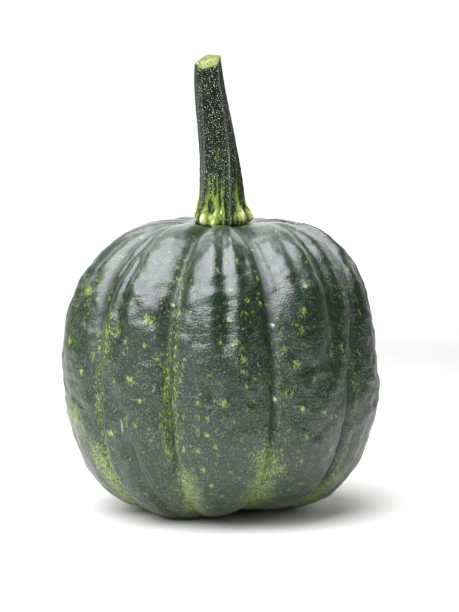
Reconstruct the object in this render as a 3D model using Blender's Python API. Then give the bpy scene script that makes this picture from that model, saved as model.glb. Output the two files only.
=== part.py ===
"""A green squash with ten lobes, and the five-ridged stem it was picked with: two closed solids.

The fruit is one outline, turned about Z and drawn in along ten furrows. The stem stands on a
flat seat at the crown. Both meshes measure height from the fruit's widest ring, and their
objects carry them up to where the fruit rests at Z 0. Lengths are in metres, angles in degrees.
Azimuth 0 faces the front, -Y, and azimuth 90 faces +X. Elevation 90 is the crown, and -90 is
the blossom end.
"""

import math

import bpy

# The fruit
BELLY_RADIUS = 0.0790  # the crests of the lobes, at the widest ring
UPPER_HEIGHT = 0.0796  # from the widest ring to the crown, before its hollow
LOWER_HEIGHT = 0.0748  # from the widest ring to the blossom end, before its hollow
UPPER_FULLNESS = 2.49  # exponent of the upper outline: 2 is an ellipse, more is squarer
LOWER_FULLNESS = 2.72
CROWN_HOLLOW = {"depth": 0.0070, "spread": 0.032}
BASE_HOLLOW = {"depth": 0.0060, "spread": 0.020}
SCAR = {"height": 0.0009, "spread": 0.0048}  # the button where the flower dropped off

# Azimuths of the furrows, which the fruit grew about evenly round it
FURROWS = (-93.0, -53.0, -20.0, 20.0, 60.0, 93.0, 128.0, 161.0, 197.0, 234.0)
FURROW_DEPTH = 0.0048
LOBE_ROUNDNESS = 2.3  # exponent of a lobe's cross section: 2 is an arc, more is flatter

# Where the fruit grew fuller, or flatter, than its outline
SWELLS = (
    {"azimuth": -90, "elevation": 12, "wide": 40, "high": 25, "out": 0.0026},
    {"azimuth": 80, "elevation": 48, "wide": 45, "high": 20, "out": 0.0018},
    {"azimuth": -80, "elevation": -50, "wide": 34, "high": 16, "out": 0.0016},
    {"azimuth": 86, "elevation": -1, "wide": 26, "high": 13, "out": 0.0016},
    {"azimuth": 78, "elevation": -52, "wide": 24, "high": 14, "out": 0.0010},
    {"azimuth": -30, "elevation": -66, "wide": 24, "high": 20, "out": 0.0018},
    {"azimuth": 28, "elevation": -60, "wide": 30, "high": 22, "out": -0.0038},
    {"azimuth": 112, "elevation": -66, "wide": 34, "high": 20, "out": 0.0014},
    {"azimuth": 214, "elevation": -66, "wide": 34, "high": 20, "out": 0.0012},
)
PAD_DEPTH = 0.0012  # how much the lowest lobes are flattened where the fruit rests

SEAT_RADIUS = 0.0158  # the flat at the crown that the stem stands on
SEAT_BLEND = 0.0060  # from the edge of the flat to the free surface of the crown
SEAT_SLOPE = 0.07  # the seat falls this much towards the front
GAP = 0.0003  # between the seat and the stem's underside

COLUMNS_PER_LOBE = 8
RINGS = 36

# The stem
STEM_HEIGHT = 0.0806  # seat to the middle of the cut
STEM_LEAN = -0.0060  # how far its top lies to the right of its foot
LEAN_DELAY = 1.9  # 1 leans evenly, and more keeps the lower part upright
FOOT_RADIUS = 0.0118  # before the flare
CUT_RADIUS = 0.0067
WAIST = 0.0004  # how much fuller it is halfway up than a plain taper
FLARE = {"out": 0.0024, "high": 0.0085}
UNDERCUT = {"share": 0.09, "high": 0.0025}  # the foot draws in where it meets the fruit
RIDGES = 5
FOOT_RIDGE_AZIMUTH = 22.0
TWIST = 24.0  # from foot to cut
VALLEY_DEPTH = 0.16  # share of the radius between two ridges
CUT_SLOPE = (0.22, 0.51)  # rise of the cut for each metre along X and along Y
CUT_BEVEL = 0.0004
BOSSES = (
    {"azimuth": -68, "wide": 10, "out": 0.0009, "level": 0.0045},
    {"azimuth": -40, "wide": 10, "out": 0.0014, "level": 0.0036},
    {"azimuth": -13, "wide": 12, "out": 0.0017, "level": 0.0026},
    {"azimuth": 52, "wide": 18, "out": 0.0028, "level": 0.0050},
    {"azimuth": 96, "wide": 15, "out": 0.0024, "level": 0.0034},
    {"azimuth": 140, "wide": 17, "out": 0.0018, "level": 0.0050},
    {"azimuth": 188, "wide": 15, "out": 0.0014, "level": 0.0040},
    {"azimuth": 236, "wide": 17, "out": 0.0018, "level": 0.0050},
)
BOSS_HEIGHT = 0.0045
STEM_COLUMNS = 40
STEM_RINGS = 20


def ease(value):
    """0 below 0, 1 above 1, and a smooth step between."""
    value = min(max(value, 0.0), 1.0)
    return value * value * (3 - 2 * value)


def turned(azimuth, radius):
    """X and Y of a point at an azimuth and a distance from the Z axis."""
    angle = math.radians(azimuth)
    return radius * math.sin(angle), -radius * math.cos(angle)


def apart(azimuth, other):
    """The angle from one azimuth to another, between -180 and 180."""
    return (azimuth - other + 180) % 360 - 180


def bell(offset, spread):
    return math.exp(-((offset / spread) ** 2))


def outline(elevation):
    """Radius and height of the plain outline, and the direction that faces out of it."""
    angle = math.radians(elevation)
    above = elevation >= 0
    height = UPPER_HEIGHT if above else LOWER_HEIGHT
    power = UPPER_FULLNESS if above else LOWER_FULLNESS
    across = abs(math.cos(angle)) / BELLY_RADIUS
    along = abs(math.sin(angle)) / height
    reach = (across**power + along**power) ** (-1 / power)
    radius, level = reach * math.cos(angle), reach * math.sin(angle)
    out_radius = (radius / BELLY_RADIUS) ** (power - 1) / BELLY_RADIUS
    out_level = math.copysign((abs(level) / height) ** (power - 1) / height, level)
    length = math.hypot(out_radius, out_level)
    return radius, level, out_radius / length, out_level / length


def across_lobe(azimuth):
    """0 at the furrow on one side of a lobe, 1 at the furrow on its other side."""
    ends = list(FURROWS) + [FURROWS[0] + 360]
    turn = (azimuth - ends[0]) % 360 + ends[0]
    for start, end in zip(ends, ends[1:]):
        if start <= turn < end:
            return (turn - start) / (end - start)
    return 0.0


def furrow_depth(azimuth, radius, elevation):
    """How far a furrow draws the surface in. It runs out at the crown and the blossom end."""
    across = abs(2 * across_lobe(azimuth) - 1) ** LOBE_ROUNDNESS
    if elevation > 0:
        share = 0.35 + 0.65 * min(radius / 0.058, 1)
    else:
        share = 0.12 + 0.88 * min(radius / 0.062, 1) ** 1.5
    return FURROW_DEPTH * across * share * ease((radius - 0.010) / 0.022)


def swelling(azimuth, elevation):
    total = 0.0
    for swell in SWELLS:
        sideways = bell(apart(azimuth, swell["azimuth"]), swell["wide"])
        upwards = bell(elevation - swell["elevation"], swell["high"])
        total += swell["out"] * sideways * upwards
    return total


def seat_level(y):
    """Height of the stem's seat, measured from the widest ring."""
    return UPPER_HEIGHT - CROWN_HOLLOW["depth"] + SEAT_SLOPE * y


def rind_point(azimuth, elevation):
    """A point of the fruit's surface, with its height measured from the widest ring."""
    radius, level, out_radius, out_level = outline(elevation)
    push = swelling(azimuth, elevation) - furrow_depth(azimuth, radius, elevation)
    radius += push * out_radius
    level += push * out_level
    if elevation > 0:
        level -= CROWN_HOLLOW["depth"] * bell(radius, CROWN_HOLLOW["spread"])
    else:
        level += BASE_HOLLOW["depth"] * bell(radius, BASE_HOLLOW["spread"])
        level -= SCAR["height"] * math.exp(-((radius / SCAR["spread"]) ** 4))
    x, y = turned(azimuth, radius)
    if elevation > 0:
        free = ease((radius - SEAT_RADIUS) / SEAT_BLEND)
        level = seat_level(y) * (1 - free) + level * free
    return x, y, level


def rind_columns():
    """Azimuths of the mesh's columns: every furrow has one, and the lobes share the rest."""
    ends = list(FURROWS) + [FURROWS[0] + 360]
    for start, end in zip(ends, ends[1:]):
        for step in range(COLUMNS_PER_LOBE):
            yield start + (end - start) * step / COLUMNS_PER_LOBE


def rind_rings():
    """Elevations of the mesh's rings. The first one lies inside the flat seat."""
    seat_edge = math.degrees(math.atan2(UPPER_HEIGHT, SEAT_RADIUS))
    yield 0.5 * (90 + seat_edge)
    last = -90 + 3.0
    for step in range(RINGS):
        yield seat_edge + (last - seat_edge) * step / (RINGS - 1)


def ring_mesh(name, rings, first, last, material):
    """A closed mesh from rings of points, from the top down, with a point at each end."""
    count = len(rings[0])
    points = [first] + [point for ring in rings for point in ring] + [last]
    faces = []
    for column in range(count):
        beside = (column + 1) % count
        faces.append((0, 1 + column, 1 + beside))
        for ring in range(len(rings) - 1):
            upper = 1 + ring * count
            lower = upper + count
            faces.append((upper + column, lower + column, lower + beside, upper + beside))
        lower = 1 + (len(rings) - 1) * count
        faces.append((lower + column, len(points) - 1, lower + beside))
    mesh = bpy.data.meshes.new(name)
    mesh.from_pydata(points, [], faces)
    mesh.shade_smooth()
    mesh.set_sharp_from_angle(angle=math.radians(50))
    mesh.materials.append(material)
    piece = bpy.data.objects.new(name, mesh)
    bpy.context.scene.collection.objects.link(piece)
    return piece


def plain_material(name, colour, roughness):
    material = bpy.data.materials.new(name)
    material.use_nodes = True
    shader = material.node_tree.nodes["Principled BSDF"]
    shader.inputs["Base Color"].default_value = (*colour, 1)
    shader.inputs["Roughness"].default_value = roughness
    shader.inputs["Metallic"].default_value = 0.0
    material.diffuse_color = (*colour, 1)
    return material


def build_fruit():
    """The fruit, with its lowest lobes flattened where it rests."""
    columns = list(rind_columns())
    rings = [[rind_point(azimuth, elevation) for azimuth in columns] for elevation in rind_rings()]
    floor = min(level for ring in rings for _, _, level in ring) + PAD_DEPTH
    rings = [[(x, y, max(level, floor)) for x, y, level in ring] for ring in rings]
    rind = plain_material("rind", (0.055, 0.088, 0.045), 0.36)
    return ring_mesh("fruit", rings, rind_point(0, 90), rind_point(0, -90), rind)


def stem_radius(azimuth, share):
    """Radius of the stem at a share of its height, ridges and foot bosses included."""
    height = share * STEM_HEIGHT
    radius = FOOT_RADIUS + (CUT_RADIUS - FOOT_RADIUS) * share
    radius += WAIST * math.sin(math.pi * share)
    radius += FLARE["out"] * math.exp(-((height / FLARE["high"]) ** 1.3))
    ridge = FOOT_RIDGE_AZIMUTH + TWIST * share
    valley = 0.5 - 0.5 * math.cos(math.radians(RIDGES * (azimuth - ridge)))
    radius *= 1 - VALLEY_DEPTH * valley * ease((height + 0.004) / 0.012)
    for boss in BOSSES:
        sideways = bell(apart(azimuth, boss["azimuth"]), boss["wide"])
        radius += boss["out"] * sideways * bell(height - boss["level"], BOSS_HEIGHT)
    drawn_in = max(1 - height / UNDERCUT["high"], 0.0)
    return radius * (1 - UNDERCUT["share"] * drawn_in**2)


def stem_point(azimuth, share, base, inset=0.0, rise=0.0):
    """A point of the stem's side. Low rings lie along the seat, and high ones along the cut."""
    x, y = turned(azimuth, stem_radius(azimuth, share) - inset)
    near_seat = 1 - ease(share / 0.25)
    near_cut = ease((share - 0.55) / 0.45)
    tilt = near_cut * (CUT_SLOPE[0] * x + CUT_SLOPE[1] * y) + near_seat * SEAT_SLOPE * y
    return x + STEM_LEAN * ease(share) ** LEAN_DELAY, y, base + share * STEM_HEIGHT + tilt + rise


def build_stem():
    """The stem, standing on the seat with a hair's gap."""
    base = seat_level(0) + GAP
    azimuths = [360 * column / STEM_COLUMNS for column in range(STEM_COLUMNS)]
    shares = [(step / STEM_RINGS) ** 1.35 for step in range(STEM_RINGS, -1, -1)]
    rings = [[stem_point(azimuth, 1, base, CUT_BEVEL, CUT_BEVEL) for azimuth in azimuths]]
    for share in shares:
        rings.append([stem_point(azimuth, share, base) for azimuth in azimuths])
    cut_middle = (STEM_LEAN, 0.0, base + STEM_HEIGHT + CUT_BEVEL)
    foot_middle = (0.0, 0.0, base)
    stalk = plain_material("stalk", (0.075, 0.110, 0.048), 0.55)
    return ring_mesh("stem", rings, cut_middle, foot_middle, stalk)


def main():
    for item in list(bpy.data.objects):
        bpy.data.objects.remove(item, do_unlink=True)
    fruit = build_fruit()
    stem = build_stem()
    xs, ys, levels = zip(*(vertex.co for vertex in fruit.data.vertices))
    place = (-(min(xs) + max(xs)) / 2, -(min(ys) + max(ys)) / 2, -min(levels))
    for piece in (fruit, stem):
        piece.location = place


main()
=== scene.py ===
import math

import bpy
import numpy as np
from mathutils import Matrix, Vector, noise


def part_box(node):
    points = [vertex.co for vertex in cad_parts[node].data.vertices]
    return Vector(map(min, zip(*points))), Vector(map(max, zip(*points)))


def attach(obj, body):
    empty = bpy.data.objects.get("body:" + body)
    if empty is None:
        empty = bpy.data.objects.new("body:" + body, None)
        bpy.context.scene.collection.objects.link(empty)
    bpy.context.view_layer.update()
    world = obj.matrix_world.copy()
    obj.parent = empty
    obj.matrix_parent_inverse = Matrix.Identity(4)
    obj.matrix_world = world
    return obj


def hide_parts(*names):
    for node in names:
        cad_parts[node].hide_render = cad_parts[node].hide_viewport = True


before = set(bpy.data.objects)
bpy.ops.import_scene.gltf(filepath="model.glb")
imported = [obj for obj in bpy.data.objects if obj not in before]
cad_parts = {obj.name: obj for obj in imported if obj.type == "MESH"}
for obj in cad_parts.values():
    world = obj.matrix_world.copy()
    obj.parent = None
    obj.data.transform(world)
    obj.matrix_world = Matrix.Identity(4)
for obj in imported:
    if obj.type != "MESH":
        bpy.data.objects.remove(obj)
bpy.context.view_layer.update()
fruitLow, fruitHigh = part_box("fruit")
stemLow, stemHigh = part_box("stem")
print("frame loaded:", sorted(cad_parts))

degree = math.pi / 180  # in radians

# the stem's flat foot stands a gap over its seat, and both fall a little to the front
stemGap = 0.0003
seatSlope = 0.07


# the level of the stem's underside on its own axis
def findSeat():
    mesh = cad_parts["stem"].data
    flat = {index for face in mesh.polygons if face.normal.z < -0.9 for index in face.vertices}
    under = [mesh.vertices[index].co for index in flat]
    front = (min(point.y for point in under) + max(point.y for point in under)) / 2
    return sum(point.z - seatSlope * (point.y - front) for point in under) / len(under)


seatLevel = findSeat()


# Node arithmetic. A Field wraps a socket, so that a formula reads like plain arithmetic
# in a geometry tree and in a shader tree alike.

class Field:
    def __init__(self, tree, socket):
        self.tree = tree
        self.socket = socket

    def __add__(self, other):
        return mathNode(self.tree, "ADD", self, other)

    def __sub__(self, other):
        return mathNode(self.tree, "SUBTRACT", self, other)

    def __rsub__(self, other):
        return mathNode(self.tree, "SUBTRACT", other, self)

    def __mul__(self, other):
        return mathNode(self.tree, "MULTIPLY", self, other)

    def __truediv__(self, other):
        return mathNode(self.tree, "DIVIDE", self, other)

    def __pow__(self, other):
        return mathNode(self.tree, "POWER", self, other)

    def __abs__(self):
        return mathNode(self.tree, "ABSOLUTE", self)

    __radd__ = __add__
    __rmul__ = __mul__

    def least(self, other):
        return mathNode(self.tree, "MINIMUM", self, other)

    def most(self, other):
        return mathNode(self.tree, "MAXIMUM", self, other)

    def bell(self, spread):
        scaled = self / spread
        return mathNode(self.tree, "EXPONENT", scaled * scaled * -1)

    # a smooth step from 0 at one value to 1 at the other
    def ease(self, start, end):
        node = self.tree.nodes.new("ShaderNodeMapRange")
        node.interpolation_type = "SMOOTHSTEP"
        feed(self.tree, node.inputs["Value"], self)
        flip = start > end
        node.inputs["From Min"].default_value = end if flip else start
        node.inputs["From Max"].default_value = start if flip else end
        node.inputs["To Min"].default_value = 1 if flip else 0
        node.inputs["To Max"].default_value = 0 if flip else 1
        return Field(self.tree, node.outputs["Result"])


def feed(tree, socket, value):
    if isinstance(value, Field):
        tree.links.new(value.socket, socket)
    else:
        socket.default_value = value


# feeds a new node's first sockets in their order
def feedFirst(tree, node, values):
    for socket, value in zip(node.inputs, values):
        feed(tree, socket, value)
    return Field(tree, node.outputs[0])


def nodeField(tree, kind, output):
    return Field(tree, tree.nodes.new(kind).outputs[output])


def mathNode(tree, operation, *values):
    node = tree.nodes.new("ShaderNodeMath")
    node.operation = operation
    return feedFirst(tree, node, values)


def spanOf(x, y):
    return mathNode(x.tree, "SQRT", x * x + y * y)


def splitVector(vector):
    node = vector.tree.nodes.new("ShaderNodeSeparateXYZ")
    feed(vector.tree, node.inputs[0], vector)
    return [Field(vector.tree, output) for output in node.outputs]


def joinVector(tree, x, y, z):
    return feedFirst(tree, tree.nodes.new("ShaderNodeCombineXYZ"), (x, y, z))


# noise from -1 to 1 about, stretched along each axis by the scale
def roughField(vector, scale, detail=1.0, shift=(0, 0, 0), distortion=0.0):
    tree = vector.tree
    mapping = tree.nodes.new("ShaderNodeVectorMath")
    mapping.operation = "MULTIPLY_ADD"
    feed(tree, mapping.inputs[0], vector)
    mapping.inputs[1].default_value = scale if isinstance(scale, tuple) else (scale,) * 3
    mapping.inputs[2].default_value = shift
    node = tree.nodes.new("ShaderNodeTexNoise")
    node.inputs["Scale"].default_value = 1
    node.inputs["Detail"].default_value = detail
    node.inputs["Distortion"].default_value = distortion
    tree.links.new(mapping.outputs[0], node.inputs["Vector"])
    return Field(tree, node.outputs[0]) * 4 - 2


# The same steps and bells for arrays

def easeArray(values, start, end):
    share = np.clip((values - start) / (end - start), 0, 1)
    return share * share * (3 - 2 * share)


def bellArray(values, spread):
    return np.exp(-((values / spread) ** 2))


def apartArray(azimuth, other):
    return (azimuth - other + 180) % 360 - 180


def addSocket(tree, label, way, kind):
    return tree.interface.new_socket(label, in_out=way, socket_type="NodeSocket" + kind)


# The interface of a geometry tree: one named input for each entry of a piece's dictionary
def geometryTree(name, sizes):
    tree = bpy.data.node_groups.new(name, "GeometryNodeTree")
    tree.is_modifier = True
    addSocket(tree, "Geometry", "INPUT", "Geometry")
    for label, value in sizes.items():
        addSocket(tree, label, "INPUT", "Int" if isinstance(value, int) else "Float")
    addSocket(tree, "Material", "INPUT", "Material")
    addSocket(tree, "Geometry", "OUTPUT", "Geometry")
    inlet = tree.nodes.new("NodeGroupInput")
    fields = {label: Field(tree, inlet.outputs[label]) for label in sizes}
    fields["Geometry"] = Field(tree, inlet.outputs["Geometry"])
    fields["Material"] = Field(tree, inlet.outputs["Material"])
    return tree, fields


def endTree(tree, geometry, material):
    realize = tree.nodes.new("GeometryNodeRealizeInstances")
    paint = tree.nodes.new("GeometryNodeSetMaterial")
    outlet = tree.nodes.new("NodeGroupOutput")
    tree.links.new(geometry, realize.inputs[0])
    tree.links.new(realize.outputs[0], paint.inputs["Geometry"])
    feed(tree, paint.inputs["Material"], material)
    tree.links.new(paint.outputs[0], outlet.inputs[0])


def addObject(name, data):
    thing = bpy.data.objects.new(name, data)
    bpy.context.scene.collection.objects.link(thing)
    return thing


# Runs a tree on a mesh and returns the result as a plain mesh object
def growPiece(name, tree, sizes, material, startMesh):
    carrier = addObject(name + "Carrier", startMesh)
    modifier = carrier.modifiers.new("grow", "NODES")
    modifier.node_group = tree
    values = dict(sizes, Material=material)
    for item in tree.interface.items_tree:
        if item.in_out == "INPUT" and item.name in values:
            modifier[item.identifier] = values[item.name]
    carrier.update_tag()
    bpy.context.view_layer.update()
    grown = carrier.evaluated_get(bpy.context.evaluated_depsgraph_get())
    mesh = bpy.data.meshes.new_from_object(grown)
    mesh.name = name
    carrier.modifiers.clear()
    bpy.data.objects.remove(carrier, do_unlink=True)
    mesh.shade_smooth()
    return addObject(name, mesh)


def storeField(tree, geometry, name, value, kind="FLOAT", domain="POINT"):
    node = tree.nodes.new("GeometryNodeStoreNamedAttribute")
    node.data_type = kind
    node.domain = domain
    node.inputs["Name"].default_value = name
    tree.links.new(geometry, node.inputs["Geometry"])
    feed(tree, node.inputs["Value"], value)
    return node.outputs[0]


# Shader pieces that the materials share

def shaderTree(name):
    material = bpy.data.materials.new(name)
    material.use_nodes = True
    tree = material.node_tree
    return material, tree, tree.nodes["Principled BSDF"]


def objectPlace(tree):
    return nodeField(tree, "ShaderNodeTexCoord", "Object")


def surfaceField(tree, name):
    node = tree.nodes.new("ShaderNodeAttribute")
    node.attribute_name = name
    return Field(tree, node.outputs["Fac"])


def blendColour(tree, share, first, second):
    node = tree.nodes.new("ShaderNodeMix")
    node.data_type = "RGBA"
    colours = [socket for socket in node.inputs if socket.type == "RGBA"]
    feed(tree, node.inputs["Factor"], share)
    feed(tree, colours[0], first)
    feed(tree, colours[1], second)
    result = [socket for socket in node.outputs if socket.type == "RGBA"]
    return Field(tree, result[0])


def bumpNode(tree, height, strength, distance, under=None):
    node = tree.nodes.new("ShaderNodeBump")
    feed(tree, node.inputs["Height"], height)
    node.inputs["Strength"].default_value = strength
    node.inputs["Distance"].default_value = distance
    if under is not None:
        feed(tree, node.inputs["Normal"], under)
    return Field(tree, node.outputs["Normal"])


# a field is linked to the shader's socket, and a constant is set on it
def setShader(tree, shader, values):
    for name, value in values.items():
        feed(tree, shader.inputs[name], value)


# Shader group: ragged specks scattered through space. At density 0 hardly one shows, and at
# 1 they run together.
speckleInputs = {
    "Density": 0.5,
    "Specks per Metre": 800.0,
    "Height": 1.0,
    "Shift": 0.0,
}


def speckleGroup():
    tree = bpy.data.node_groups.new("speckles", "ShaderNodeTree")
    addSocket(tree, "Place", "INPUT", "Vector")
    for label, value in speckleInputs.items():
        addSocket(tree, label, "INPUT", "Float").default_value = value
    addSocket(tree, "Specks", "OUTPUT", "Float")
    inlet = tree.nodes.new("NodeGroupInput")
    outlet = tree.nodes.new("NodeGroupOutput")
    place, density, often, tall, shift = (Field(tree, output) for output in inlet.outputs[:5])
    x, y, z = splitVector(place)
    grain = roughField(joinVector(tree, x * often + shift, y * often, z * often / tall), 1, 2.5)
    specks = ((grain * 1.6 + density * 2.4 - 1.25) * 2.6).least(1).most(0)
    feed(tree, outlet.inputs[0], specks)
    return tree


speckles = speckleGroup()


def speckleNode(tree, place, density, often, tall=1.0, shift=0.0):
    node = tree.nodes.new("ShaderNodeGroup")
    node.node_tree = speckles
    return feedFirst(tree, node, (place, density, often, tall, shift))


# Rind: the fruit's skin, with its speckles, blotches and healed scars, and the dry button at
# the blossom end

rindFinish = {
    "deepGreen": (0.0012, 0.0095, 0.0018, 1),
    "blueGreen": (0.0024, 0.0145, 0.0056, 1),
    "grain": (0.052, 0.096, 0.044, 1),
    "moss": (0.092, 0.130, 0.054, 1),
    "lime": (0.110, 0.185, 0.028, 1),
    "gold": (0.205, 0.295, 0.034, 1),
    "paleLime": (0.315, 0.385, 0.150, 1),
    "scar": (0.60, 0.63, 0.62, 1),
    "corkyScar": (0.19, 0.20, 0.14, 1),
    "dryButton": (0.22, 0.16, 0.09, 1),
    "roughness": 0.33,
    "furrowRoughness": 0.38,
    "buttonRoughness": 0.22,
    "specular": 0.77,
    "bloom": 0.20,
    "bloomRoughness": 0.16,
    # specks per metre
    "grainSpecks": 1150.0,
    "fineSpecks": 1050.0,
    "smallSpecks": 1500.0,
    "largeSpecks": 360.0,
    # the levels between which the skin turns plainer, towards the shoulders
    "plainStart": 0.060,
    "plainEnd": 0.120,
    "rippleDepth": 0.00014,
    "grainDepth": 0.00010,
}


# the skin under the specks: two greens in clouds, a fine pale grain, and moss in the streaks. Grain and
# moss thin out in the furrow creases as painted shade, and gather towards the base, partly the paler
# underside and partly painted bounce light.
def rindGround(tree, place, on, plain, net, mottle):
    look = rindFinish
    cloud = roughField(place, 42, 3)
    base = blendColour(tree, cloud.ease(-0.7, 0.8), look["deepGreen"], look["blueGreen"])
    # more pale grains towards the base: partly the skin's own, partly painted bounce light from the floor
    density = net * 0.14 + on["low"] * 0.12 + 0.35
    grains = speckleNode(tree, place, density, look["grainSpecks"], 1.4, 6.0)
    # fewer pale grains in the furrow creases leave them darker: painted shade
    grains = grains * (on["furrow"] * -0.7 + 1) * (plain * -0.4 + 0.75)
    base = blendColour(tree, grains, base, look["grain"])
    # moss gathers towards the base: partly the skin's paler underside, partly painted light bounced from
    # the floor
    moss = on["lime"] * (on["low"] * 1.1 + 0.35) + mottle * on["lime"] * 0.8 + on["low"] * 0.32 - 0.20
    # moss thins in the furrow creases too: painted shade
    return blendColour(tree, moss.least(1).most(0) * (on["furrow"] * -0.5 + 1), base, look["moss"])


# fine specks crowd the furrows, and larger ones stray over the lobes
def rindSpecks(tree, place, on, plain, net):
    look, lime, low = rindFinish, on["lime"], on["low"]
    density = lime * 0.80 + net * lime * 0.20 + net * 0.07 + on["blotch"] * 0.40
    # more specks towards the base: partly the skin's own, partly painted bounce light from the floor
    density = density + low * 0.11 + low ** 4 * 0.24
    crowd = (density + 0.02).least(low * 0.12 + 0.47)
    fine = speckleNode(tree, place, crowd, look["fineSpecks"], 1.7)
    small = speckleNode(tree, place, (density + 0.18).least(0.60), look["smallSpecks"], 1.2, 4.0)
    large = speckleNode(tree, place, lime * 0.10 + low * 0.05 + 0.15, look["largeSpecks"], 1.5, 9.0)
    return (fine * 0.95).most(small * (plain * -0.24 + 0.41)).most(large * 0.64)


# blotches with frayed edges, paler in the middle, small pale scars, and the button
def rindMarks(tree, place, on, base):
    look = rindFinish
    ragged = roughField(place, (760, 760, 560), 3, (9, 4, 2))
    blotch = on["blotch"] + ragged * 0.70
    base = blendColour(tree, blotch.ease(0.40, 0.85) * 0.82, base, look["lime"])
    base = blendColour(tree, blotch.ease(0.80, 1.30) * 0.70, base, look["paleLime"])
    healed = on["scar"] * (ragged * 0.4 + 1)
    base = blendColour(tree, healed.ease(0.05, 0.35), base, look["corkyScar"])
    base = blendColour(tree, healed.ease(0.5, 0.85), base, look["scar"])
    return blendColour(tree, on["button"], base, look["dryButton"])


# fine wrinkles that run round the fruit, stronger in patches, under a finer grain
def rindRelief(tree, place, high):
    patch = roughField(place, 70, 2, (7, 5, 1)).ease(-0.8, 0.7) * 0.65 + 0.15
    patch = patch * (high.ease(0.030, 0.075) * 0.35 + 0.65)
    patch = patch * (high.ease(0.145, 0.105) * 0.6 + 0.4)
    ripple = roughField(place, (210, 210, 640), 2, (1, 6, 3), 0.5)
    rippled = bumpNode(tree, ripple * patch, 1.0, rindFinish["rippleDepth"])
    grain = roughField(place, 1300, 2, (4, 4, 4)) * (high.ease(0.140, 0.090) * 0.6 + 0.3)
    return bumpNode(tree, grain, 0.8, rindFinish["grainDepth"], rippled)


def makeRind():
    look = rindFinish
    material, tree, shader = shaderTree("rind")
    place = objectPlace(tree)
    stored = ("lime", "blotch", "button", "low", "furrow", "scar")
    on = {name: surfaceField(tree, name) for name in stored}
    _, _, high = splitVector(place)
    plain = high.ease(look["plainStart"], look["plainEnd"])
    net = roughField(place, (260, 260, 170), 3, (3, 1, 7))
    mottle = roughField(place, 620, 3, (4, 4, 9))

    base = rindGround(tree, place, on, plain, net, mottle)
    specks = rindSpecks(tree, place, on, plain, net)
    tint = blendColour(tree, (on["lime"] + mottle * 0.10).ease(0.20, 0.62), look["lime"], look["gold"])
    # specks turn paler towards the base: partly the skin's own tint, partly painted bounce light
    tint = blendColour(tree, on["low"] * 0.85, tint, look["paleLime"])
    base = blendColour(tree, specks.least(1), base, tint)
    base = rindMarks(tree, place, on, base)

    wear = roughField(place, 160, 3, (2, 8, 5))
    rough = wear * 0.035 + look["roughness"] + specks * 0.05
    rough = rough + on["furrow"] * look["furrowRoughness"] + on["button"] * look["buttonRoughness"]
    setShader(tree, shader, {
        "Base Color": base,
        "Roughness": rough.least(0.9),
        "Specular IOR Level": look["specular"],
        "Sheen Weight": look["bloom"],
        "Sheen Roughness": look["bloomRoughness"],
        "Normal": rindRelief(tree, place, high),
    })
    return material


# Fruit: one outline turned about Z, drawn in along ten furrows. Azimuth 0 faces the front,
# -Y, and azimuth 90 faces +X. Elevation 90 is the crown, and -90 is the blossom end.

fruitSizes = {
    "Belly Radius": 0.0790,
    "Upper Height": 0.0796,
    "Lower Height": 0.0748,
    "Upper Fullness": 2.49,
    "Lower Fullness": 2.72,
    "Upper Furrow": 0.0062,
    "Lower Furrow": 0.0044,
    "Upper Roundness": 2.0,
    "Lower Roundness": 2.8,
    "Crease Depth": 0.0011,
    "Groove Depth": 0.0011,
    "Crown Hollow": 0.0070,
    "Base Hollow": 0.0060,
    "Seat Radius": 0.0158,
    "Button Radius": 0.0048,
    "Button Height": 0.0009,
    "Hammer Height": 0.00062,
    "Segments": 440,
    "Rings": 220,
}

# each furrow's azimuth at the widest ring, its lean and bow as it runs up and down, and how
# sharp its crease is
furrows = (
    (-93.0, -1.0, -1.0, 0.9),
    (-52.0, -2.5, -6.0, 1.5),
    (-20.0, -0.9, 1.2, 1.9),
    (20.0, 0.0, -1.2, 1.4),
    (56.3, 11.0, 11.2, 1.1),
    (92.0, 1.0, 1.0, 0.9),
    (128.0, -1.5, 0.5, 1.1),
    (161.0, 0.5, -1.0, 0.9),
    (197.0, 2.0, 0.5, 1.0),
    (234.0, -1.0, 0.0, 1.1),
)

# grooves that split a lobe over a part of its height: elevation and azimuth where one
# starts, the same where it stops, half width in degrees, and depth as a share
grooves = (
    (72, -44, 20, -51, 2.7, 1.9),
    (64, -43, 14, -41, 2.8, 1.8),
    (-10, -40, -60, -28, 2.4, 2.4),
    (78, 1, 10, 2, 3.6, 2.4),
    (70, 10.5, 14, 11, 4.4, 1.4),
    (68, 40, 24, 32, 3.0, 0.6),
    (72, 25, 28, 25, 2.6, 0.8),
    (68, -17, 26, -16.5, 2.4, 1.0),
    (74, 56, 0, 43, 4.2, 2.8),
    (70, 84, 18, 80, 3.4, 1.2),
    (70, 108, 12, 111, 3.4, 1.5),
    (74, 147, 4, 144, 3.6, 1.7),
    (72, 178, 16, 180, 3.2, 1.4),
    (70, 214, 8, 216, 3.6, 1.8),
    (72, 251, 12, 253, 3.4, 1.5),
    (70, 286, 18, 290, 3.2, 1.3),
    (-10, 70, -55, 66, 3.2, 0.7),
    (-12, 108, -55, 110, 3.0, 0.8),
    (-8, 215, -60, 213, 3.4, 0.9),
)

# where the fruit grew fuller or flatter: azimuth, elevation, their spreads, and the amount
swells = (
    (-90, 12, 40, 25, 0.0026),
    (80, 48, 45, 20, 0.0018),
    (-80, -50, 34, 16, 0.0016),
    (86, -7, 26, 14, 0.0018),
    (78, -52, 24, 14, 0.0010),
    (-30, -66, 24, 20, 0.0018),
    (28, -60, 30, 22, -0.0038),
    (112, -66, 34, 20, 0.0014),
    (214, -66, 34, 20, 0.0012),
    (-41, -6, 5, 5, -0.0014),
    (-37, -25, 4, 4, -0.0010),
    (44, -14, 6, 14, 0.0010),
    (-47, -12, 1.9, 30, 0.0012),
    (-24, 31, 26, 8, 0.0011),
    (-33, 29, 13, 7, 0.0007),
    (29, 25, 8, 11, 0.0029),
    (51, -17, 2.2, 16, 0.0009),
    (36, 4, 6, 6, -0.0010),
)

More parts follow.
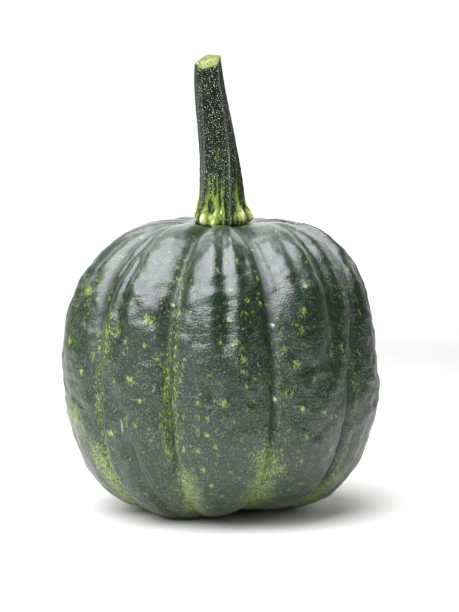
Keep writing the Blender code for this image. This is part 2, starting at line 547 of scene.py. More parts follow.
# streaks of lime dots: azimuth, half width in degrees, the elevations they run between, amount
limeBands = (
    (-20.9, 1.8, 20, -30, 0.54),
    (-16.9, 1.6, 40, -36, 0.46),
    (-19, 2, 62, -20, 0.34),
    (-15, 6, -28, -82, 0.60),
    (-22, 3, 66, 20, 0.28),
    (-12, 5, -6, -30, 0.18),
    (21.6, 1.1, 34, -22, 0.36),
    (24, 3, 20, -16, 0.20),
    (18, 7, -18, -78, 0.60),
    (14, 3.5, 10, -24, 0.18),
    (-64, 3, 52, 24, 0.32),
    (-53.2, 1.6, 36, -30, 0.50),
    (-57, 6.5, -22, -80, 0.72),
    (-67, 7, -8, -24, 0.55),
    (-74, 12, 36, -30, 0.26),
    (-46, 5, 28, 4, 0.46),
    (59, 1.4, 22, -46, 0.40),
    (62, 4.5, -34, -74, 0.50),
    (45, 1.5, 56, 8, 0.36),
    (70, 1.6, 50, 26, 0.34),
    (93.5, 1.5, 30, -30, 0.40),
    (96, 5, -26, -78, 0.52),
    (90, 2.4, 56, 26, 0.24),
    (129.5, 1.8, 20, -32, 0.44),
    (127, 6, -28, -78, 0.54),
    (160, 1.5, 36, -22, 0.38),
    (163, 5, -22, -76, 0.52),
    (198.5, 1.9, 24, -30, 0.42),
    (195, 6, -26, -76, 0.54),
    (206, 4, 40, 4, 0.26),
    (233, 1.5, 38, -26, 0.40),
    (236, 5, -24, -78, 0.52),
    (-94.5, 1.8, 26, -28, 0.42),
    (-91, 6, -24, -76, 0.54),
)

# the larger lime blotches: azimuth, elevation and radius
blotches = (
    (1, -5, 0.0017), (-28, 23, 0.0022), (8, 10, 0.0015), (5, 16, 0.0013), (-66, 30, 0.0020),
    (28, 8, 0.0017), (-34, 2, 0.0016), (-69, 12, 0.0016), (-72, 6, 0.0013), (-44, -18, 0.0019),
    (30, -8, 0.0012), (32, -18, 0.0011), (58, 30, 0.0013), (32, 26, 0.0013), (30, 20, 0.0010),
    (10, 31, 0.0011), (3, 24, 0.0011), (72, 45, 0.0012), (36, 34, 0.0010), (-8, -5, 0.0011),
    (-8, -10, 0.0009), (-5, -10, 0.0009), (-5, -16, 0.0010), (-2, -20, 0.0011), (-8, -22, 0.0010),
    (-7, -29, 0.0010), (4, -30, 0.0009), (-4, -36, 0.0010), (8, 6, 0.0010), (9, 1, 0.0009),
    (-20, 40, 0.0010), (-11, 35, 0.0010), (8, 46, 0.0010), (16, 30, 0.0011), (17, 40, 0.0011),
    (10, 26, 0.0009), (39, -10, 0.0011), (26, -2, 0.0010), (24, 13, 0.0010), (-24, 10, 0.0010),
    (-28, 14, 0.0010), (-30, -5, 0.0011), (-32, -14, 0.0010), (-26, -19, 0.0010), (35, 2, 0.0011),
    (46, -24, 0.0012), (32, -27, 0.0010), (0, 16, 0.0010), (-4, 5, 0.0010), (-13, 10, 0.0009),
    (-41, 18, 0.0012), (-60, 2, 0.0013), (24, -30, 0.0010), (-36, 28, 0.0011), (50, 12, 0.0012),
    (103, 12, 0.0020), (120, -8, 0.0016), (138, 22, 0.0017), (150, -14, 0.0018), (172, 6, 0.0016),
    (184, 30, 0.0014), (206, -10, 0.0018), (222, 14, 0.0016), (245, -4, 0.0018), (262, 20, 0.0016),
    (110, 34, 0.0012), (145, 4, 0.0011), (178, -24, 0.0012), (190, 10, 0.0011), (214, 36, 0.0012),
    (230, -20, 0.0012), (255, 8, 0.0011), (84, -14, 0.0012), (96, 26, 0.0011), (162, -32, 0.0011),
)

# healed scratches: azimuth, elevation, half height, half width, and how pale they are
scars = (
    (-20.0, 29.5, 0.0006, 0.0006, 0.9), (20.5, 22.0, 0.0007, 0.0006, 0.9),
    (20.5, -4.5, 0.0009, 0.0006, 0.9), (-18.0, -6.0, 0.0020, 0.0005, 0.5),
    (-14.0, -22.0, 0.0016, 0.0004, 0.5), (-38.5, -15.0, 0.0030, 0.0004, 0.4),
    (112.0, 4.0, 0.0024, 0.0005, 0.5), (205.0, 18.0, 0.0010, 0.0008, 0.9),
    (238.0, -8.0, 0.0026, 0.0005, 0.5),
)


def apart(azimuth, other):
    return mathNode(azimuth.tree, "WRAP", azimuth - other, 180.0, -180.0)


def furrowAzimuth(furrow, elevation):
    azimuth, lean, bow, _ = furrow
    step = elevation / 45
    return step * lean + step * step * bow + azimuth


# how far a point lies from the middle of its lobe: 0 at the crest, 1 in the furrows
def acrossLobe(azimuth, elevation):
    tree = azimuth.tree
    after, before = None, None
    for furrow in furrows:
        line = furrowAzimuth(furrow, elevation)
        past = mathNode(tree, "WRAP", azimuth - line, 360.0, 0.0)
        ahead = mathNode(tree, "WRAP", line - azimuth, 360.0, 0.0)
        after = past if after is None else after.least(past)
        before = ahead if before is None else before.least(ahead)
    return abs(after / (after + before) * 2 - 1)


# a size that goes from its lower value to its upper one as the share goes from 0 to 1
def between(given, name, share):
    lower, upper = given["Lower " + name], given["Upper " + name]
    return lower + share * (upper - lower)


# the plain outline at a latitude of the ball, and the direction that faces out of it
def fruitOutline(given, cosine, z, above):
    tree = z.tree
    belly, height = given["Belly Radius"], between(given, "Height", above)
    power = between(given, "Fullness", above)
    across = (cosine / belly) ** power
    along = (abs(z) / height) ** power
    reach = (across + along) ** mathNode(tree, "DIVIDE", -1.0, power)
    radius = reach * cosine
    level = reach * z
    outRadius = (radius / belly) ** (power - 1) / belly
    outLevel = (abs(level) / height) ** (power - 1) / height * (above * 2 - 1)
    length = spanOf(outRadius, outLevel)
    return radius, level, outRadius / length, outLevel / length


# the furrows, with a crease along the bottom of each, and the grooves that split some lobes
def furrowRelief(given, azimuth, elevation, radius, above, skin, side):
    upper = elevation.ease(-10, 30)
    upperShare = (radius / 0.058).least(1) * 0.65 + 0.35
    lowerShare = (radius / 0.062).least(1) ** 1.5 * 0.88 + 0.12
    fade = radius.ease(0.010, 0.032) * (above * upperShare + (1 - above) * lowerShare)
    push = side ** between(given, "Roundness", upper) * between(given, "Furrow", upper) * fade * -1
    wobble = roughField(skin, 150, 2.0, (2, 7, 7)) * 0.0007
    broken = roughField(skin, (90, 90, 130), 2.0, (3, 5, 9)) * 0.5 + 0.8
    sharp = (1 - upper * 0.6) * (elevation.ease(-40, -16) * 0.85 + 0.15) * broken
    creaseDepth = given["Crease Depth"] * fade * sharp
    for furrow in furrows:
        off = apart(azimuth, furrowAzimuth(furrow, elevation)) * radius * degree + wobble
        push = push - off.bell(0.0021) * creaseDepth * furrow[-1]

    grooveDepth = given["Groove Depth"] * fade
    for top, start, bottom, stop, halfWidth, share in grooves:
        slope = (start - stop) / (top - bottom)
        line = elevation * slope + (stop - slope * bottom)
        stretch = elevation.ease(top, top - 24) * elevation.ease(bottom - 8, bottom + 14)
        push = push - apart(azimuth, line).bell(halfWidth) * stretch * grooveDepth * share
    return push


# swells, hammered dents that are strongest round the belly, and a slow waver
def skinRelief(given, azimuth, elevation, skin):
    belly = abs(elevation).ease(75, 20) * 0.75 + 0.25
    dents = roughField(skin, (95, 95, 120), 1.0, (5, 2, 1))
    dents = dents + roughField(skin, 230, 1.5, (8, 3, 6)) * 0.35
    push = dents * belly * given["Hammer Height"] + roughField(skin, 28, 1.0, (1, 9, 4)) * 0.0005
    for middle, level, wide, high, amount in swells:
        push = push + apart(azimuth, middle).bell(wide) * (elevation - level).bell(high) * amount
    return push


def fruitTree(sizes):
    tree, given = geometryTree("lobedFruit", sizes)
    ball = tree.nodes.new("GeometryNodeMeshUVSphere")
    ball.inputs["Radius"].default_value = 1
    feed(tree, ball.inputs["Segments"], given["Segments"])
    feed(tree, ball.inputs["Rings"], given["Rings"])
    unwrap = Field(tree, ball.outputs["UV Map"])
    geometry = storeField(tree, ball.outputs["Mesh"], "OFBake", unwrap, "FLOAT2", "CORNER")

    x, y, z = splitVector(nodeField(tree, "GeometryNodeInputPosition", 0))
    azimuth = mathNode(tree, "ARCTAN2", x, y * -1) / degree
    angle = mathNode(tree, "ARCSINE", z.least(1).most(-1))
    elevation = angle / degree
    above = mathNode(tree, "GREATER_THAN", z, 0.0)
    cosine = mathNode(tree, "COSINE", angle).most(0.0001)

    radius, level, outRadius, outLevel = fruitOutline(given, cosine, z, above)
    skin = joinVector(tree, radius * x / cosine, radius * y / cosine, level)
    side = acrossLobe(azimuth, elevation)
    push = furrowRelief(given, azimuth, elevation, radius, above, skin, side)
    push = push + skinRelief(given, azimuth, elevation, skin)
    radius = radius + push * outRadius
    level = level + push * outLevel

    # hollows at the crown and round the button, and the flat seat of the stem
    crown = radius.bell(0.032) * given["Crown Hollow"]
    button = mathNode(tree, "EXPONENT", (radius / given["Button Radius"]) ** 4 * -1)
    base = radius.bell(0.020) * given["Base Hollow"] - button * given["Button Height"]
    level = level - above * crown + (1 - above) * base
    front = radius * y / cosine
    seat = given["Upper Height"] - given["Crown Hollow"] + front * seatSlope
    free = mathNode(tree, "ADD", (radius - given["Seat Radius"]).ease(0, 0.006), 1 - above).least(1)
    level = level * free + seat * (1 - free)

    # what the skin's material reads, stored while the mesh is still a ball
    stored = {
        "button": (1 - above) * button,
        # low marks the lower skin, painted paler: partly its own colour, partly painted bounce light
        "low": elevation.ease(-12, -70),
        # furrow marks the creases, where the rind is painted darker as shade and made rougher
        "furrow": side.ease(0.86, 1.0),
        "azimuth": azimuth,
        "elevation": elevation,
    }
    for name, value in stored.items():
        geometry = storeField(tree, geometry, name, value)
    move = tree.nodes.new("GeometryNodeSetPosition")
    tree.links.new(geometry, move.inputs["Geometry"])
    feed(tree, move.inputs["Position"], joinVector(tree, radius * x / cosine, front, level))
    endTree(tree, move.outputs[0], given["Material"])
    return tree


def readField(mesh, name):
    values = np.empty(len(mesh.vertices), dtype=np.float32)
    mesh.attributes[name].data.foreach_get("value", values)
    return values


def writeField(mesh, name, values):
    layer = mesh.attributes.new(name, "FLOAT", "POINT")
    layer.data.foreach_set("value", np.asarray(values, dtype=np.float32))


# the skin's rough radius, round the fruit and up it, that turns degrees into lengths
markRadii = {"around": 0.077, "upwards": 0.082}


# a mark on the skin, 1 in the middle and 0 outside
def markArray(azimuth, elevation, middle, level, halfHeight, halfWidth):
    around = markRadii["around"] * math.cos(level * degree)
    sideways = apartArray(azimuth, middle) * degree * around
    upwards = (elevation - level) * degree * markRadii["upwards"]
    return bellArray(np.hypot(sideways / halfWidth, upwards / halfHeight), 1.3)


# where the skin has lime streaks, blotches and scars
def paintRind(mesh):
    azimuth, elevation = readField(mesh, "azimuth"), readField(mesh, "elevation")
    lime, blotch, scar = np.zeros((3, len(azimuth)))
    for middle, halfWidth, top, bottom, amount in limeBands:
        stretch = easeArray(elevation, top + 6, top - 8) * easeArray(elevation, bottom - 8, bottom + 8)
        lime = np.maximum(lime, bellArray(apartArray(azimuth, middle), halfWidth) * stretch * amount)
    for middle, level, size in blotches:
        blotch = np.maximum(blotch, markArray(azimuth, elevation, middle, level, size * 1.15, size))
    for middle, level, high, wide, pale in scars:
        scar = np.maximum(scar, markArray(azimuth, elevation, middle, level, high, wide) * pale)
    for name, values in (("lime", lime), ("blotch", blotch), ("scar", scar)):
        writeField(mesh, name, values)
    for name in ("azimuth", "elevation"):
        mesh.attributes.remove(mesh.attributes[name])


# puts the fruit where the frame has it: centred on its box, under the stem, flat where it rests
def settleFruit(piece):
    mesh = piece.data
    points = np.empty(len(mesh.vertices) * 3)
    mesh.vertices.foreach_get("co", points)
    points = points.reshape(-1, 3)
    middle = (points.min(axis=0) + points.max(axis=0)) / 2
    boxMiddle = (fruitLow + fruitHigh) / 2
    seat = fruitSizes["Upper Height"] - fruitSizes["Crown Hollow"]
    points += (boxMiddle.x - middle[0], boxMiddle.y - middle[1], seatLevel - stemGap - seat)
    points[:, 2] = np.maximum(points[:, 2], fruitLow.z)
    mesh.vertices.foreach_set("co", points.ravel())
    mesh.update()


print("growing the fruit")
rind = makeRind()
startMesh = bpy.data.meshes.new("start")
fruit = growPiece("squashFruit", fruitTree(fruitSizes), fruitSizes, rind, startMesh)
settleFruit(fruit)
paintRind(fruit.data)
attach(fruit, "root")
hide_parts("fruit")


# Stem: five ridges that twist as they rise, ribs that swell into bosses at the foot, and a
# slanted cut

stemSizes = {
    "height": 0.0806,
    "lean": -0.0060,
    "leanDelay": 1.9,
    "footRadius": 0.0118,
    "cutRadius": 0.0067,
    "waist": 0.0004,
    "flareOut": 0.0024,
    "flareHigh": 0.0085,
    "undercut": 0.09,
    "undercutHigh": 0.0025,
    "ridgeAzimuth": 22.0,
    "twist": 24.0,
    "valleyDepth": 0.16,
    "ridgeLine": 0.00040,
    "midRib": 0.00030,
    "cutSlopeX": 0.22,
    "cutSlopeY": 0.51,
    "cutDish": 0.0005,
    "cutLift": 0.0003,
    "cutPit": 0.035,
    "bossHalfHeight": 0.0042,
    "ribShare": 0.22,
    "lumps": 0.00016,
    "fibres": 0.00007,
    "columns": 240,
    "rings": 190,
    "cutRings": 16,
}

# bosses at the foot: azimuth, half width in degrees, how far they stand out, their level
bosses = (
    (-68, 10, 0.0009, 0.0045),
    (-40, 10, 0.0014, 0.0036),
    (-13, 12, 0.0017, 0.0026),
    (6, 6, 0.0008, 0.0036),
    (52, 18, 0.0028, 0.0050),
    (96, 15, 0.0024, 0.0034),
    (140, 17, 0.0018, 0.0050),
    (188, 15, 0.0014, 0.0040),
    (236, 17, 0.0018, 0.0050),
)

# crevices between them: azimuth, half width in degrees, and depth
crevices = (
    (17, 5, 0.0013), (-27, 4, 0.0006), (-54, 4, 0.0006), (74, 5, 0.0009), (118, 5, 0.0010),
    (164, 5, 0.0010), (212, 5, 0.0010), (264, 5, 0.0009),
)


# degrees from the nearest main ridge, up to 36
def offRidge(azimuth, share):
    ridge = stemSizes["ridgeAzimuth"] + stemSizes["twist"] * share
    return np.abs((azimuth - ridge + 36) % 72 - 36)


# degrees from a boss or a crevice, which turn with the stem as it rises
def asideOf(azimuth, middle, share):
    return apartArray(azimuth, middle + stemSizes["twist"] * 0.8 * share)


def stemRadius(azimuth, share):
    size = stemSizes
    height = share * size["height"]
    radius = size["footRadius"] + (size["cutRadius"] - size["footRadius"]) * share
    radius = radius + size["waist"] * np.sin(np.pi * share)
    radius = radius + size["flareOut"] * np.exp(-((height / size["flareHigh"]) ** 1.3))
    away = offRidge(azimuth, share)
    polygon = np.cos(np.radians(36)) / np.cos(np.radians(36 - away))
    valley = (1 - polygon) / (1 - math.cos(math.radians(36)))
    radius = radius * (1 - size["valleyDepth"] * valley * easeArray(height, -0.004, 0.008))
    radius = radius + size["ridgeLine"] * bellArray(away, 4.5) * (1 - 0.5 * share)
    radius = radius + size["midRib"] * bellArray(36 - away, 6) * (1 - easeArray(share, 0.5, 1.0))
    lower = 1 - easeArray(height, 0.016, 0.040)
    for middle, wide, out, level in bosses:
        aside = asideOf(azimuth, middle, share)
        radius = radius + out * bellArray(aside, wide) * bellArray(height - level, size["bossHalfHeight"])
        radius = radius + size["ribShare"] * out * bellArray(aside, wide * 0.45) * lower
    foot = 1 - easeArray(height, 0.004, 0.022)
    for middle, wide, deep in crevices:
        radius = radius - deep * bellArray(asideOf(azimuth, middle, share), wide) * foot
    drawnIn = np.clip(1 - height / size["undercutHigh"], 0, 1)
    return radius * (1 - size["undercut"] * drawnIn ** 2)


def stemRing(azimuths, share, inset=0.0):
    size = stemSizes
    radius = stemRadius(azimuths, share) * (1 - inset)
    angle = np.radians(azimuths)
    x, y = radius * np.sin(angle), -radius * np.cos(angle)
    tilt = easeArray(share, 0.55, 1.0) * (size["cutSlopeX"] * x + size["cutSlopeY"] * y)
    tilt = tilt + (1 - easeArray(share, 0.0, 0.25)) * seatSlope * y
    lean = size["lean"] * easeArray(share, 0.0, 1.0) ** size["leanDelay"]
    level = seatLevel + share * size["height"] + tilt
    return np.stack([x + lean, y, level], axis=1)


def stemRough(point):
    x, y, z = point
    lumps = noise.noise(Vector((x * 260, y * 260, z * 110)))
    fibres = noise.noise(Vector((x * 900, y * 900, z * 120)))
    return stemSizes["lumps"] * lumps + stemSizes["fibres"] * fibres


def roughen(ring, azimuths, amount):
    push = np.array([stemRough(point) for point in ring]) * amount
    angle = np.radians(azimuths)
    return ring + np.stack([push * np.sin(angle), -push * np.cos(angle), np.zeros(len(ring))], axis=1)


# rings from the middle of the cut out to its rim, down the side, and in under the foot
def stemRings(azimuths):
    size = stemSizes
    rings = []
    for step in range(1, size["cutRings"] + 1):
        out = step / size["cutRings"]
        points = stemRing(azimuths, 1.0, 1 - out * (1 - size["cutPit"]))
        dish = size["cutDish"] * (1 - out ** 2) * (1 - 0.5 * bellArray(out, 0.35))
        points[:, 2] += size["cutLift"] - dish
        rings.append({"points": points, "onCut": 1.0, "outward": out, "share": 1.0})
    for step in range(size["rings"] + 1):
        share = (1 - step / size["rings"]) ** 1.15
        points = roughen(stemRing(azimuths, share), azimuths, 1 - easeArray(share, 0.97, 1.0))
        rings.append({"points": points, "onCut": 0.0, "outward": 1.0, "share": share})
    for inset in (0.08, 0.4, 0.75):
        points = stemRing(azimuths, 0.0, inset)
        rings.append({"points": points, "onCut": 0.0, "outward": 1.0, "share": 0.0})
    return rings


# a fan at each end and a band of four-sided faces between one ring and the next, with the
# corners of each face on the unwrapped stem
def stemFaces(ringCount, columns):
    faces, corners = [], []
    bands = ringCount + 1
    last = 1 + ringCount * columns
    for column in range(columns):
        beside = (column + 1) % columns
        left, right = column / columns, (column + 1) / columns
        faces.append((0, 1 + column, 1 + beside))
        corners += [((left + right) / 2, 1.0), (left, 1 - 1 / bands), (right, 1 - 1 / bands)]
        for ring in range(ringCount - 1):
            upper, lower = 1 + ring * columns, 1 + (ring + 1) * columns
            high, low = 1 - (ring + 1) / bands, 1 - (ring + 2) / bands
            faces.append((upper + column, lower + column, lower + beside, upper + beside))
            corners += [(left, high), (left, low), (right, low), (right, high)]
        lower = last - columns
        faces.append((lower + column, last, lower + beside))
        corners += [(left, 1 / bands), ((left + right) / 2, 0.0), (right, 1 / bands)]
    return faces, corners


# how lime the skin is: the bosses, the ribs that rise from them, and pale lines on the ridges
def stemLime(azimuth, share):
    height = share * stemSizes["height"]
    lime = np.zeros_like(azimuth)
    for middle, wide, out, level in bosses:
        aside = asideOf(azimuth, middle, share)
        boss = bellArray(aside, wide * 1.15) * bellArray(height - level, 0.0058) * 1.15
        rib = bellArray(aside, wide * 0.70) * (1 - easeArray(height, 0.010, 0.034)) * 0.9
        lime = np.maximum(lime, np.maximum(boss, rib) * min(out / 0.0014, 1))
    away = offRidge(azimuth, share)
    middle = bellArray(36 - away, 5.0) * 0.66 * (1 - easeArray(share, 0.30, 0.75))
    beside = bellArray(22 - away, 3.6) * 0.60 * (1 - easeArray(share, 0.15, 0.45))
    return np.maximum(lime, np.maximum(middle, beside))


# a pale line runs up each ridge, clearest on the front right one, and the facet left of the front is
# painted lighter: a painted highlight
def stemRidgeLineAndHighlight(azimuth, share):
    nearest = np.abs(apartArray(azimuth, stemSizes["ridgeAzimuth"] + stemSizes["twist"] * share))
    line = bellArray(offRidge(azimuth, share), 2.4) * (0.25 + 0.6 * bellArray(nearest, 20))
    facet = apartArray(azimuth, stemSizes["ridgeAzimuth"] + stemSizes["twist"] * share - 132)
    # the left facet painted lighter: a painted highlight
    return np.maximum(line, 0.34 * bellArray(facet, 20))


# where the bristle bases stand: thick on the front, thinner on the facets beside it, and
# hardly any on the lime parts
def stemFuzz(azimuth, share):
    ridge = stemSizes["ridgeAzimuth"] + stemSizes["twist"] * share
    left, right = apartArray(azimuth, ridge - 132), apartArray(azimuth, ridge + 40)
    beside = np.maximum(bellArray(right, 26) * 0.7, bellArray(left, 24))
    dark = easeArray(stemLime(azimuth, share), 0.75, 0.25)
    rise = easeArray(share, 0.0, 0.02) * (0.35 + 0.65 * easeArray(share, 0.02, 0.30))
    return dark * rise * (1 - 0.8 * beside)


# what the stalk's material and the bristles read, from the middle of the cut to that of the foot
def paintStem(mesh, azimuths, rings):
    ones = np.ones(len(azimuths))
    fields = {name: [ones * ring[name] for ring in rings] for name in ("onCut", "outward", "share")}
    fields["lime"] = [stemLime(azimuths, ring["share"]) for ring in rings]
    fields["ridge"] = [stemRidgeLineAndHighlight(azimuths, ring["share"]) for ring in rings]
    fields["fuzz"] = [stemFuzz(azimuths, ring["share"]) * (1 - ring["onCut"]) for ring in rings]
    ends = {"onCut": (1, 0), "outward": (0, 1), "share": (1, 0)}
    for name, rows in fields.items():
        first, last = ends.get(name, (0, 0))
        writeField(mesh, name, np.concatenate([[first], *rows, [last]]))


def makeStem(material):
    columns = stemSizes["columns"]
    azimuths = np.arange(columns) * 360 / columns
    rings = stemRings(azimuths)
    rows = [ring["points"] for ring in rings]
    points = np.concatenate([rows[0].mean(axis=0)[None], *rows, rows[-1].mean(axis=0)[None]])
    middle = (points.min(axis=0) + points.max(axis=0)) / 2
    points[:, :2] += ((stemLow + stemHigh) / 2).xy - Vector(middle[:2])
    faces, corners = stemFaces(len(rings), columns)
    mesh = bpy.data.meshes.new("squashStem")
    mesh.from_pydata(points.tolist(), [], faces)
    unwrap = mesh.uv_layers.new(name="OFBake")
    unwrap.data.foreach_set("uv", np.array(corners, dtype=np.float32).ravel())
    paintStem(mesh, azimuths, rings)
    mesh.shade_smooth()
    mesh.materials.append(material)
    return addObject("squashStem", mesh)


stalkFinish = {
    "dark": (0.0046, 0.0078, 0.0044, 1),
    "green": (0.028, 0.060, 0.014, 1),
    "lime": (0.155, 0.215, 0.032, 1),
    "creamAndGlint": (0.53, 0.54, 0.28, 1),
    "ridge": (0.12, 0.13, 0.08, 1),
    "cutRim": (0.085, 0.100, 0.006, 1),
    "cutCore": (0.22, 0.225, 0.13, 1),
    "roughness": 0.45,
    "specular": 0.11,
    "fibreDepth": 0.00010,
    "pitDepth": 0.00010,
}


# the skin: dark green with fibres, lime on the ribs and bosses, and cream on the swollen foot, which is
# partly its pale colour and partly a painted wet highlight
def stalkSkin(tree, place, fibres, patches, speck, share):
    look = stalkFinish
    lime, ridge = surfaceField(tree, "lime"), surfaceField(tree, "ridge")
    low = share.ease(0.55, 0.08)
    tint = (fibres * 0.30 + patches * 0.12 + low * 0.50).least(1).most(0)
    base = blendColour(tree, tint, look["dark"], look["green"])
    dust = speckleNode(tree, place, 0.36, 1500.0, 1.3, 5.0)
    base = blendColour(tree, dust * 0.07, base, look["ridge"])
    paint = (lime * 1.25 + fibres * 0.42 + patches * 0.30).ease(0.42, 0.95) * (low * 0.70 + 0.30)
    base = blendColour(tree, paint, base, look["lime"])
    # pale ridge lines, and a painted highlight on the left facet
    ridgeLineAndHighlight = ridge * (fibres * 0.4 + patches * 0.4 + 0.7).most(0).least(1)
    base = blendColour(tree, ridgeLineAndHighlight, base, look["ridge"])
    # cream on the bosses: partly their pale colour, partly a painted wet highlight
    creamAndGlint = (lime + patches * 0.60).ease(0.70, 1.25) * share.ease(0.14, 0.07)
    base = blendColour(tree, creamAndGlint * 0.9, base, look["creamAndGlint"])
    return blendColour(tree, speck * share.ease(0.30, 0.10) * 0.7, base, look["dark"])


# the cut: a lime rim round a pale wet middle, with spots where the vessels ran, and cream patches that
# are partly pale tissue and partly painted wet glints
def stalkCut(tree, place, patches):
    look = stalkFinish
    outward = surfaceField(tree, "outward")
    vessels = speckleNode(tree, place, 0.46, 1150.0, 1.0, 0.2)
    wet = roughField(place, 330, 3, (3, 8, 1))
    core = (outward * 0.6 + wet * 0.60).ease(0.60, 0.10)
    cut = blendColour(tree, core, look["cutRim"], look["cutCore"])
    cut = blendColour(tree, vessels * 0.75, cut, look["lime"])
    cut = blendColour(tree, (wet * -1 - outward * 0.15).ease(0.05, 0.50) * 0.6, cut, look["green"])
    # cream patches on the cut: partly pale tissue, partly painted wet glints
    return blendColour(tree, (wet + patches * 0.5).ease(0.75, 1.2) * 0.6, cut, look["creamAndGlint"])


def makeStalk():
    look = stalkFinish
    material, tree, shader = shaderTree("stalk")
    place = objectPlace(tree)
    share = surfaceField(tree, "share")
    fibres = roughField(place, (900, 900, 60), 3, (2, 2, 5))
    patches = roughField(place, (420, 420, 200), 3, (6, 1, 2))
    speck = speckleNode(tree, place, share.ease(0.20, 0.02) * 0.22 + 0.12, 1500.0, 1.4, 3.0)
    skin = stalkSkin(tree, place, fibres, patches, speck, share)
    cut = stalkCut(tree, place, patches)
    base = blendColour(tree, surfaceField(tree, "onCut"), skin, cut)
    ribbed = bumpNode(tree, fibres, 0.7, look["fibreDepth"])
    setShader(tree, shader, {
        "Base Color": base,
        "Roughness": (patches * 0.06 + look["roughness"] + speck * 0.1).least(0.9),
        "Specular IOR Level": look["specular"],
        "Normal": bumpNode(tree, roughField(place, 1100, 2, (7, 7, 1)), 0.6, look["pitDepth"], ribbed),
    })
    return material


# Bristle bases: pale dots on the dark skin of the stem, each a low dome a fraction of a
# millimetre across
bristleSizes = {
    "Spacing": 0.00068,
    "Most per Square Metre": 1400000.0,
    "Dome Radius": 0.00020,
    "Smallest": 0.35,
    "Largest": 1.25,
    "Flatness": 0.45,
    "Sides": 6,
    "Dome Rings": 4,
    "Seed": 11,
}
bristleFinish = {
    "dull": (0.16, 0.20, 0.13, 1),
    "pale": (0.80, 0.85, 0.76, 1),
    "roughness": 0.45,
}


def bristleTree(sizes):
    tree, given = geometryTree("bristleBases", sizes)
    fuzz = tree.nodes.new("GeometryNodeInputNamedAttribute")
    fuzz.data_type = "FLOAT"
    fuzz.inputs["Name"].default_value = "fuzz"
    scatter = tree.nodes.new("GeometryNodeDistributePointsOnFaces")
    scatter.distribute_method = "POISSON"
    feed(tree, scatter.inputs["Mesh"], given["Geometry"])
    feed(tree, scatter.inputs["Distance Min"], given["Spacing"])
    feed(tree, scatter.inputs["Density Max"], given["Most per Square Metre"])
    tree.links.new(fuzz.outputs["Attribute"], scatter.inputs["Density Factor"])
    feed(tree, scatter.inputs["Seed"], given["Seed"])
    dome = tree.nodes.new("GeometryNodeMeshUVSphere")
    feed(tree, dome.inputs["Segments"], given["Sides"])
    feed(tree, dome.inputs["Rings"], given["Dome Rings"])
    feed(tree, dome.inputs["Radius"], given["Dome Radius"])
    place = tree.nodes.new("GeometryNodeInstanceOnPoints")
    tree.links.new(scatter.outputs["Points"], place.inputs["Points"])
    tree.links.new(dome.outputs["Mesh"], place.inputs["Instance"])
    tree.links.new(scatter.outputs["Rotation"], place.inputs["Rotation"])
    chance = tree.nodes.new("FunctionNodeRandomValue")
    chance.data_type = "FLOAT"
    floats = [socket for socket in chance.inputs if socket.type == "VALUE"]
    feed(tree, floats[0], given["Smallest"])
    feed(tree, floats[1], given["Largest"])
    feed(tree, chance.inputs["Seed"], given["Seed"])
    size = Field(tree, [socket for socket in chance.outputs if socket.type == "VALUE"][0])
    feed(tree, place.inputs["Scale"], joinVector(tree, size, size, size * given["Flatness"]))
    smooth = tree.nodes.new("GeometryNodeSetShadeSmooth")
    tree.links.new(place.outputs[0], smooth.inputs[0])
    endTree(tree, smooth.outputs[0], given["Material"])
    return tree


def makeBristleWax():
    look = bristleFinish
    material, tree, shader = shaderTree("bristleWax")
    tone = roughField(objectPlace(tree), 900, 1, (1, 1, 8)).ease(-0.7, 0.7)
    colour = blendColour(tree, tone, look["dull"], look["pale"])
    setShader(tree, shader, {"Base Color": colour, "Roughness": look["roughness"]})
    return material


print("growing the stem")
stem = makeStem(makeStalk())
bristleWax = makeBristleWax()
bristles = growPiece("stemBristles", bristleTree(bristleSizes), bristleSizes, bristleWax, stem.data)
for piece in (stem, bristles):
    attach(piece, "root")
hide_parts("stem")


# Stage: a pale floor, a broad soft light overhead, and a pale room that is darker in front

stageSetup = {
    "floorSize": 6.0,
    "floorNear": (0.565, 0.565, 0.53, 1),
    "floorFar": (0.25, 0.25, 0.235, 1),
    "floorRoughness": 0.8,
    "floorSpecular": 0.2,
    # where the floor turns from its lighter near tone to its darker far one, round a point left of the
    # fruit: a painted pool of light
    "toneLeft": 0.20,
    "toneStart": 0.30,
    "toneEnd": 0.72,
    "glowStart": 0.20,
    "glowEnd": 1.3,
    "behindGlow": 1.7,
    "lightWide": 1.35,
    "lightLong": 2.1,
    "lightPlace": (-0.35, -0.34, 1.15),
    "lightAim": (0.0, 0.0, 0.1),
    "lightColour": (0.985, 0.98, 1.065),
    "lightPower": 70.0,
    "roomAround": 0.10,
    "roomBehind": 2.2,
    "roomLeft": 1.15,
    "roomRight": 1.5,
}


# The floor glows far out, as a sweep lit from behind does, so that it has no horizon. Most of
# the glow is for the camera alone, but a wedge behind the fruit shines on it too.
def makeFloor():
    stage = stageSetup
    material, tree, shader = shaderTree("paleFloor")
    place = objectPlace(tree)
    x, y, _ = splitVector(place)
    aside = x + stage["toneLeft"]
    # lighter near the fruit and darker far out: a painted pool of light on the floor
    tone = spanOf(aside, y).ease(stage["toneStart"], stage["toneEnd"]) + roughField(place, 3, 2) * 0.02
    colour = blendColour(tree, tone.least(1).most(0), stage["floorNear"], stage["floorFar"])
    seen = nodeField(tree, "ShaderNodeLightPath", "Is Camera Ray")
    behind = (y - abs(x) * 2).ease(0.1, 0.7) * stage["behindGlow"] * (1 - seen)
    glow = spanOf(x, y).ease(stage["glowStart"], stage["glowEnd"]) * (seen * 0.9 + 0.1 + behind)
    setShader(tree, shader, {
        "Base Color": colour,
        "Roughness": stage["floorRoughness"],
        "Specular IOR Level": stage["floorSpecular"],
        "Emission Color": (1, 1, 1, 1),
        "Emission Strength": glow,
    })
    half = stage["floorSize"] / 2
    corners = [(-half, -half, 0), (half, -half, 0), (half, half, 0), (-half, half, 0)]
    mesh = bpy.data.meshes.new("floor")
    mesh.from_pydata(corners, [], [(0, 1, 2, 3)])
    mesh.materials.append(material)
    floor = addObject("floor", mesh)


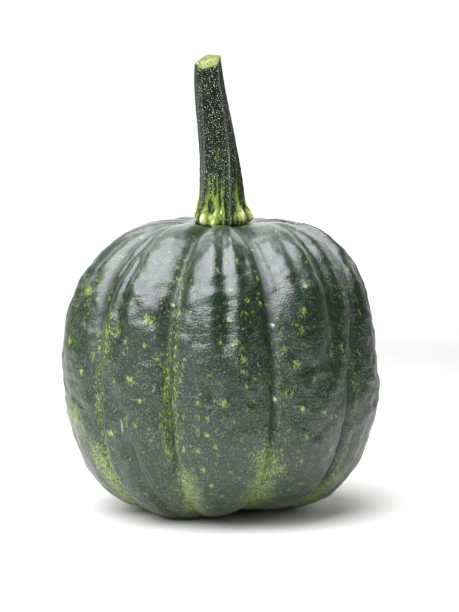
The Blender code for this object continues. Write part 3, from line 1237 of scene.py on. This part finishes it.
def makeLight():
    stage = stageSetup
    data = bpy.data.lights.new("overhead", "AREA")
    data.shape = "RECTANGLE"
    data.size = stage["lightWide"]
    data.size_y = stage["lightLong"]
    data.energy = stage["lightPower"]
    data.color = stage["lightColour"]
    light = addObject("overhead", data)
    light.location = stage["lightPlace"]
    backwards = Vector(stage["lightPlace"]) - Vector(stage["lightAim"])
    light.rotation_euler = backwards.to_track_quat("Z", "Y").to_euler()


# The camera sees a white room. Reflections find it bright behind and overhead, and the sides
# light only what scatters their light.
def makeRoom():
    stage = stageSetup
    world = bpy.data.worlds.new("room")
    world.use_nodes = True
    tree = world.node_tree
    background = tree.nodes["Background"]
    x, y, z = splitVector(nodeField(tree, "ShaderNodeTexCoord", "Generated"))
    overhead = y.ease(0.45, 0.80) * z.ease(0.08, 0.35) * stage["roomBehind"]
    wedge = (y - abs(x) * 2).ease(0.2, 0.8) * stage["roomBehind"]
    sides = x.ease(-0.45, -0.90) * stage["roomLeft"] + x.ease(0.45, 0.90) * stage["roomRight"]
    seen = nodeField(tree, "ShaderNodeLightPath", "Is Camera Ray")
    soft = nodeField(tree, "ShaderNodeLightPath", "Is Diffuse Ray")
    shade = (overhead + stage["roomAround"]).most(wedge) + sides * soft
    setShader(tree, background, {"Color": (1, 1, 1, 1), "Strength": seen + (1 - seen) * shade})
    bpy.context.scene.world = world


# Camera: the front, a little from above, through a long lens

cameraSetup = {
    "distance": 1.4,
    "elevation": 7.0,
    "viewHeight": 0.3091,
    "sensor": 36.0,
    "aim": (0.0043, 0.0, 0.1033),
}


def makeCamera():
    data = bpy.data.cameras.new("camera")
    data.sensor_width = cameraSetup["sensor"]
    data.lens = cameraSetup["sensor"] * cameraSetup["distance"] / cameraSetup["viewHeight"]
    camera = addObject("camera", data)
    tilt = math.radians(cameraSetup["elevation"])
    aim = Vector(cameraSetup["aim"])
    camera.location = aim + cameraSetup["distance"] * Vector((0, -math.cos(tilt), math.sin(tilt)))
    camera.rotation_euler = (math.pi / 2 - tilt, 0, 0)
    bpy.context.scene.camera = camera


print("setting the stage")
makeFloor()
makeLight()
makeRoom()
makeCamera()
bpy.context.scene.view_settings.view_transform = "Standard"

print("done")
